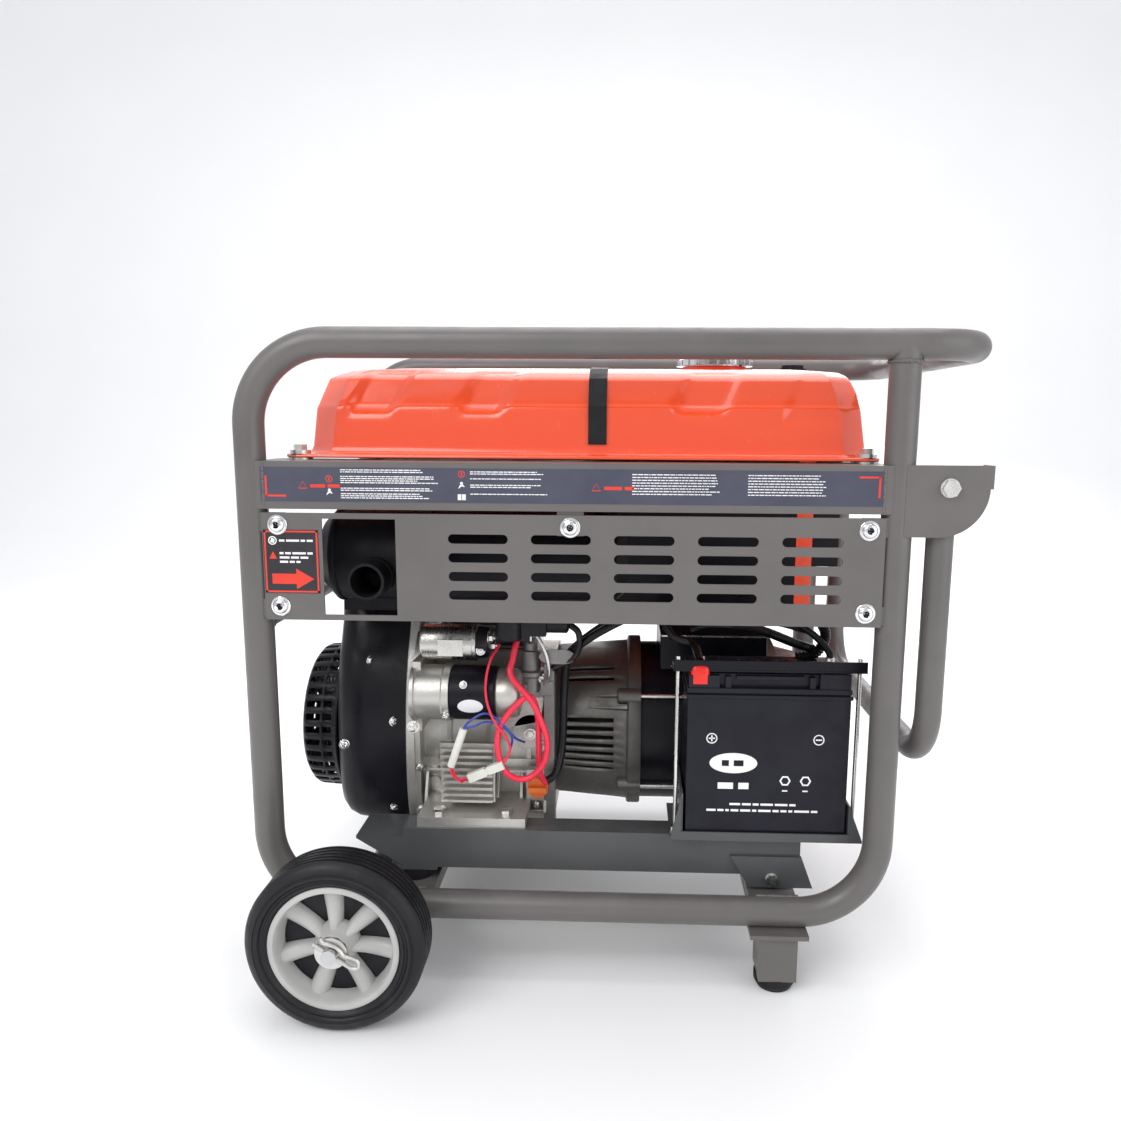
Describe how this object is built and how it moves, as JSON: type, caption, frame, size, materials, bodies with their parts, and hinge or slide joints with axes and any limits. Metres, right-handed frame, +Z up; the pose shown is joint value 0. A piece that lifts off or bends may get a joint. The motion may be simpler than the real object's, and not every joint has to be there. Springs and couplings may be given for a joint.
{
  "type": "engine driven welder",
  "caption": "Wheeled open-frame diesel welder and generator with fuel tank, slotted guard, battery, control box and folding tow handle.",
  "frame": {"origin": "bottom centre of the object box, on the ground", "axes": "+X toward the folding handle, -Y toward the battery and guard side, +Z up"},
  "size_m": [0.798, 0.68, 0.724],
  "materials": {
    "frame_paint": "satin grey paint",
    "zinc": "zinc plated",
    "rubber": "matt black",
    "tyre": "solid rubber",
    "hub": "light grey",
    "cast_alloy": "raw cast",
    "cast_iron": "raw cast",
    "machined_steel": "ground",
    "black_metal": "black paint",
    "black_plastic": "black",
    "orange_paint": "gloss orange",
    "chrome": "polished",
    "orange_plastic": "orange",
    "red_plastic": "red"
  },
  "bodies": {
    "frame": {"top_loop_tube": "frame_paint", "near_hoop": "frame_paint", "far_hoop": "frame_paint", "upper_cross_tube": "frame_paint", "crossmembers": "frame_paint", "axle_tube": "frame_paint", "side_beams": "frame_paint", "pivot_plates": "frame_paint", "handle_bolts": "zinc", "panel_tabs": "frame_paint", "guard_panel": "frame_paint", "panel_bolts": "zinc", "foot_legs": "frame_paint", "rubber_feet": "rubber", "axle": "zinc", "axle_washers": "zinc", "hitch_pins": "zinc", "rubber_mounts": "rubber", "engine_bed": "frame_paint", "mount_bolts": "zinc", "crankcase": "cast_alloy", "engine_cylinder": "cast_iron", "valve_cover": "cast_alloy", "blower_housing": "black_metal", "recoil_cover": "black_metal", "starter_motor": "black_metal", "charge_regulator": "cast_alloy", "muffler": "black_metal", "air_cleaner": "black_plastic", "front_bell": "cast_alloy", "stator": "black_metal", "rear_bell": "cast_alloy", "fuel_tank": "orange_paint", "fuel_gauge": "black_plastic", "tank_strap": "rubber", "tank_bolts": "zinc", "battery": "black_plastic", "battery_tray": "frame_paint", "battery_clamp": "black_metal", "red_cable": "red_plastic", "black_cable": "black_plastic", "control_box": "orange_paint", "control_sockets": "black_plastic"},
    "near_wheel": {"near_tyre": "tyre", "near_hub": "hub"},
    "far_wheel": {"far_tyre": "tyre", "far_hub": "hub"},
    "fold_handle": {"folding_handle": "frame_paint"},
    "crank_train": {"flywheel_fan": "cast_iron", "crankshaft": "machined_steel", "rotor": "cast_iron"},
    "piston_body": {"piston": "cast_alloy"},
    "starter_grip": {"recoil_grip": "rubber"},
    "dipstick": {"oil_dipstick": "orange_plastic"},
    "speed_control": {"speed_lever": "zinc"},
    "decompression": {"lift_lever": "red_plastic"},
    "cap": {"fuel_cap": "chrome"},
    "weld_current": {"current_knob": "black_plastic"},
    "key": {"start_key": "zinc"},
    "breaker": {"breaker_lever": "black_plastic"}
  },
  "joints": [
    {"name": "near_wheel_spin", "type": "hinge", "parent": "frame", "child": "near_wheel", "pos_m": [-0.279, -0.303, 0.094], "axis": [0, 1, 0], "continuous": true},
    {"name": "far_wheel_spin", "type": "hinge", "parent": "frame", "child": "far_wheel", "pos_m": [-0.279, 0.303, 0.094], "axis": [0, 1, 0], "continuous": true},
    {"name": "handle_swing", "type": "hinge", "parent": "frame", "child": "fold_handle", "pos_m": [0.344, 0, 0.564], "axis": [0, -1, 0], "range_deg": [0, 66]},
    {"name": "crank_spin", "type": "hinge", "parent": "frame", "child": "crank_train", "pos_m": [-0.043, 0.014, 0.23], "axis": [1, 0, 0], "continuous": true},
    {"name": "piston_stroke", "type": "slide", "parent": "frame", "child": "piston_body", "axis": [0, 0, 1], "range_m": [-0.07, 0]},
    {"name": "starter_pull", "type": "slide", "parent": "frame", "child": "starter_grip", "axis": [0, 1, 0], "range_m": [0, 0.03]},
    {"name": "dipstick_turn", "type": "hinge", "parent": "frame", "child": "dipstick", "pos_m": [-0.089, -0.11, 0.184], "axis": [0, -1, 0], "range_deg": [0, 360]},
    {"name": "speed_set", "type": "hinge", "parent": "frame", "child": "speed_control", "pos_m": [-0.113, 0.12, 0.23], "axis": [0, 1, 0], "range_deg": [-25, 25]},
    {"name": "decompress_lift", "type": "hinge", "parent": "frame", "child": "decompression", "pos_m": [-0.163, 0.014, 0.496], "axis": [0, 0, 1], "range_deg": [0, 80]},
    {"name": "cap_lift", "type": "slide", "parent": "frame", "child": "cap", "axis": [0, 0, 1], "range_m": [0, 0.05]},
    {"name": "current_set", "type": "hinge", "parent": "frame", "child": "weld_current", "pos_m": [0.189, 0.1995, 0.4035], "axis": [0, 1, 0], "range_deg": [0, 270]},
    {"name": "key_turn", "type": "hinge", "parent": "frame", "child": "key", "pos_m": [0.241, 0.1995, 0.4035], "axis": [0, 1, 0], "range_deg": [0, 60]},
    {"name": "breaker_flip", "type": "hinge", "parent": "frame", "child": "breaker", "pos_m": [0.235, 0.1955, 0.4865], "axis": [1, 0, 0], "range_deg": [-12, 12]}
  ]
}
